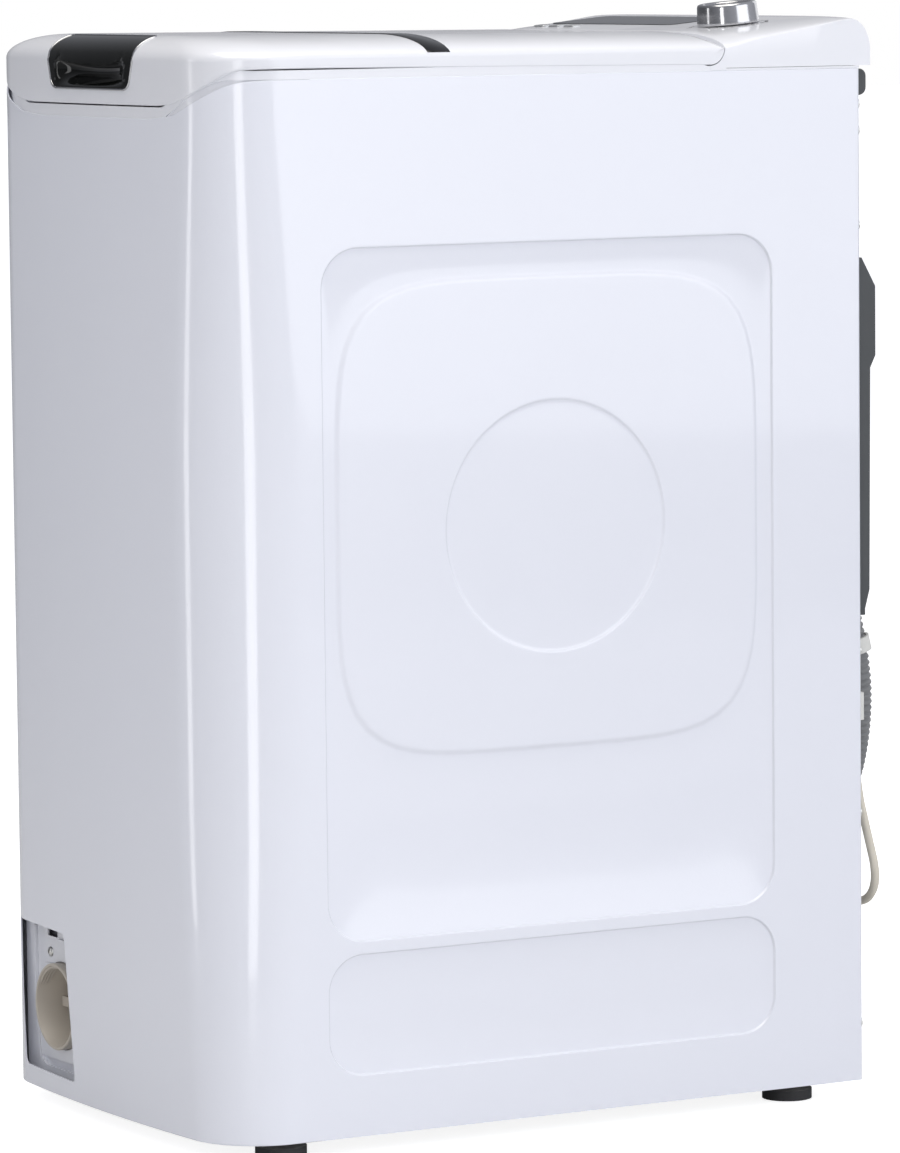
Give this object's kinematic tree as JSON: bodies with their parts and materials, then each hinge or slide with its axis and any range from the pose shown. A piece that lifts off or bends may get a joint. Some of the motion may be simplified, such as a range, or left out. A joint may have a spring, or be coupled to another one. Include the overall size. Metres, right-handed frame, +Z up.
{
  "type": "top load washing machine",
  "caption": "Narrow white top loading washing machine with hinged lid, black front handle, rear console with chrome knob, horizontal drum inside a sprung tub and open filter access.",
  "frame": {"origin": "on the floor under the middle of the machine's box, without its hoses and leads", "axes": "+Z up, -Y out of the front, +X to the right seen from the front"},
  "size_m": [0.4, 0.699, 0.8784],
  "materials": {
    "white_enamel": "gloss",
    "white_plastic": "gloss",
    "grey_plastic": "satin",
    "black_rubber": "matte",
    "galvanised": "satin",
    "dark_plastic": "matte",
    "zinc": "satin",
    "dark_gloss": "gloss",
    "circuit_board": "satin",
    "beige_plastic": "satin",
    "spring_steel": "satin",
    "grey_rubber": "matte",
    "pale_plastic": "satin",
    "hose_grey": "satin",
    "cord_sheath": "satin",
    "black_gloss": "gloss",
    "heater_steel": "satin",
    "concrete": "rough",
    "motor_iron": "satin",
    "stainless": "brushed",
    "cast_aluminium": "cast",
    "chrome": "polished",
    "satin_silver": "satin"
  },
  "bodies": {
    "cabinet": {"cabinet_wrap": "white_enamel", "base_tray": "grey_plastic", "rear_feet": "black_rubber", "rear_panel": "galvanised", "rear_cover": "dark_plastic", "hose_rail": "dark_plastic", "case_screws": "zinc", "cross_rails": "galvanised", "top_frame": "white_plastic", "door_lock": "grey_plastic", "console": "white_plastic", "display_window": "dark_gloss", "control_board": "circuit_board", "inlet_valve": "beige_plastic", "filter_surround": "white_plastic", "filter_neck": "beige_plastic", "pump_housing": "beige_plastic", "pump_motor": "zinc", "sump_hose": "black_rubber", "damper_rods": "zinc", "suspension_springs": "spring_steel", "bellows": "grey_rubber", "cord_gland": "pale_plastic", "drain_hose": "hose_grey", "drain_cuff": "black_rubber", "hose_clips": "pale_plastic", "mains_cord": "cord_sheath", "mains_coil": "cord_sheath", "mains_plug": "cord_sheath"},
    "lid": {"lid_shell": "white_plastic", "lid_inlay": "dark_gloss", "lid_handle": "black_gloss", "lid_hinge_pins": "zinc", "lid_liner": "white_plastic", "detergent_tray": "pale_plastic"},
    "tub": {"tub_shell": "grey_plastic", "tub_end_left": "grey_plastic", "tub_end_right": "grey_plastic", "drum_bearings": "zinc", "heater": "heater_steel", "counterweights": "concrete", "damper_tubes": "grey_plastic", "drive_belt": "black_rubber", "motor_stator": "motor_iron"},
    "drum": {"drum_shell": "stainless", "drum_ends": "stainless", "drum_shafts": "zinc", "drum_pulley": "cast_aluminium", "drum_lifters": "grey_plastic"},
    "front_flap": {"flap_front": "stainless"},
    "rear_flap": {"flap_rear": "stainless"},
    "rotor": {"motor_rotor": "motor_iron"},
    "knob": {"program_knob": "chrome"},
    "push_1": {"button_1": "satin_silver"},
    "push_2": {"button_2": "satin_silver"},
    "push_3": {"button_3": "satin_silver"},
    "impeller": {"pump_impeller": "beige_plastic"},
    "filter": {"filter_cap": "beige_plastic"},
    "left_foot": {"foot_front_left": "black_rubber"},
    "right_foot": {"foot_front_right": "black_rubber"}
  },
  "joints": [
    {"name": "lid_open", "type": "hinge", "parent": "cabinet", "child": "lid", "pos_m": [0, 0.1415, 0.842], "axis": [-1, 0, 0], "range_deg": [0, 90]},
    {"name": "tub_bounce", "type": "slide", "parent": "cabinet", "child": "tub", "axis": [0, 0, 1], "range_m": [-0.008, 0.008], "stiffness_N_per_m": 20000, "springref_m": 0.0167, "deforming": ["suspension_springs", "bellows", "sump_hose"]},
    {"name": "drum_spin", "type": "hinge", "parent": "tub", "child": "drum", "pos_m": [0, 0, 0.476], "axis": [1, 0, 0], "range_deg": [-360, 360]},
    {"name": "motor_spin", "type": "hinge", "parent": "tub", "child": "rotor", "pos_m": [0, 0.172, 0.204], "axis": [1, 0, 0], "range_deg": [-4200, 4200]},
    {"name": "front_flap_open", "type": "hinge", "parent": "drum", "child": "front_flap", "pos_m": [0, -0.08333, 0.68973], "axis": [1, 0, 0], "range_deg": [0, 92]},
    {"name": "rear_flap_open", "type": "hinge", "parent": "drum", "child": "rear_flap", "pos_m": [0, 0.08333, 0.68973], "axis": [-1, 0, 0], "range_deg": [0, 92]},
    {"name": "knob_turn", "type": "hinge", "parent": "cabinet", "child": "knob", "pos_m": [0.12, 0.208, 0.8589], "axis": [0, -0.0942, 0.9955], "continuous": true},
    {"name": "button_1_press", "type": "slide", "parent": "cabinet", "child": "push_1", "axis": [0, 0.0942, -0.9955], "range_m": [0, 0.0015], "stiffness_N_per_m": 500, "springref_m": -0.0008},
    {"name": "button_2_press", "type": "slide", "parent": "cabinet", "child": "push_2", "axis": [0, 0.0942, -0.9955], "range_m": [0, 0.0015], "stiffness_N_per_m": 500, "springref_m": -0.0008},
    {"name": "button_3_press", "type": "slide", "parent": "cabinet", "child": "push_3", "axis": [0, 0.0942, -0.9955], "range_m": [0, 0.0015], "stiffness_N_per_m": 500, "springref_m": -0.0008},
    {"name": "impeller_spin", "type": "hinge", "parent": "cabinet", "child": "impeller", "pos_m": [-0.11, -0.15, 0.081], "axis": [0, 1, 0], "continuous": true},
    {"name": "filter_pull", "type": "slide", "parent": "cabinet", "child": "filter", "axis": [0, -1, 0], "range_m": [0, 0.09]},
    {"name": "left_foot_level", "type": "slide", "parent": "cabinet", "child": "left_foot", "axis": [0, 0, -1], "range_m": [0, 0.008]},
    {"name": "right_foot_level", "type": "slide", "parent": "cabinet", "child": "right_foot", "axis": [0, 0, -1], "range_m": [0, 0.008]}
  ],
  "couplings": [
    {"joint": "motor_spin", "follows": "drum_spin", "ratio": 11.667}
  ]
}
